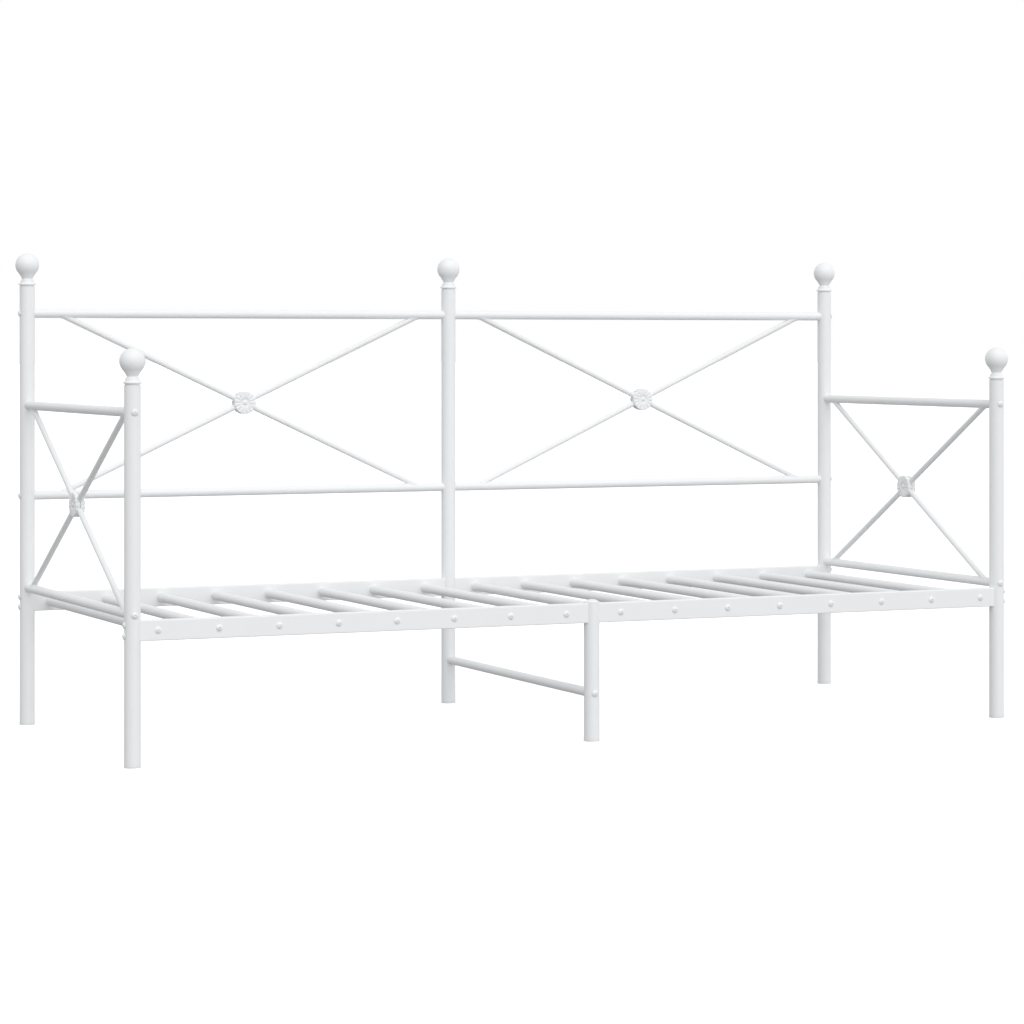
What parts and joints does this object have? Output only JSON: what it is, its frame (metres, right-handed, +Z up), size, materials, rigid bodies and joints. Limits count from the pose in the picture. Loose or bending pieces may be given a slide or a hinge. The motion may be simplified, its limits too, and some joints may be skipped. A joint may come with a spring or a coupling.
{
  "type": "daybed",
  "caption": "White metal daybed frame with ball-topped posts, crossed-bar back and arm panels with flower rosettes, and a slatted deck.",
  "frame": {"origin": "on the floor, under the middle of the frame", "axes": "+X along the bed to its right end as seen from the open front, +Y to the back panel, +Z up"},
  "size_m": [2.002, 0.794, 1.004],
  "materials": {
    "white_powder_coat": "satin powder coat",
    "white_plastic": "matt moulded plastic",
    "white_bolt_paint": "satin paint",
    "zinc_plated_steel": "bright zinc plate"
  },
  "bodies": {
    "root": {"back_left_post": "white_powder_coat", "back_middle_post": "white_powder_coat", "back_right_post": "white_powder_coat", "front_left_post": "white_powder_coat", "front_right_post": "white_powder_coat", "front_middle_leg": "white_powder_coat", "back_left_finial": "white_powder_coat", "back_middle_finial": "white_powder_coat", "back_right_finial": "white_powder_coat", "front_left_finial": "white_powder_coat", "front_right_finial": "white_powder_coat", "middle_leg_cap": "white_plastic", "foot_caps": "white_plastic", "back_top_rail_left": "white_powder_coat", "back_top_rail_right": "white_powder_coat", "back_lower_rail_left": "white_powder_coat", "back_lower_rail_right": "white_powder_coat", "back_left_long_brace": "white_powder_coat", "back_left_split_brace": "white_powder_coat", "back_right_long_brace": "white_powder_coat", "back_right_split_brace": "white_powder_coat", "left_arm_top_rail": "white_powder_coat", "left_arm_lower_rail": "white_powder_coat", "right_arm_top_rail": "white_powder_coat", "right_arm_lower_rail": "white_powder_coat", "left_arm_long_brace": "white_powder_coat", "left_arm_split_brace": "white_powder_coat", "right_arm_long_brace": "white_powder_coat", "right_arm_split_brace": "white_powder_coat", "back_left_rosettes": "white_powder_coat", "back_right_rosettes": "white_powder_coat", "left_arm_rosettes": "white_powder_coat", "right_arm_rosettes": "white_powder_coat", "front_seat_rail_left": "white_powder_coat", "front_seat_rail_right": "white_powder_coat", "back_seat_rail_left": "white_powder_coat", "back_seat_rail_right": "white_powder_coat", "centre_stretcher": "white_powder_coat", "slat_01": "white_powder_coat", "slat_02": "white_powder_coat", "slat_03": "white_powder_coat", "slat_04": "white_powder_coat", "slat_05": "white_powder_coat", "slat_06": "white_powder_coat", "slat_07": "white_powder_coat", "slat_08": "white_powder_coat", "slat_09": "white_powder_coat", "slat_10": "white_powder_coat", "slat_11": "white_powder_coat", "slat_12": "white_powder_coat", "slat_13": "white_powder_coat", "slat_14": "white_powder_coat", "slat_15": "white_powder_coat", "slat_16": "white_powder_coat", "slat_bolts": "white_bolt_paint", "frame_bolts": "white_bolt_paint", "slat_inserts": "zinc_plated_steel", "rail_inserts": "zinc_plated_steel", "joining_studs": "zinc_plated_steel"}
  },
  "joints": []
}
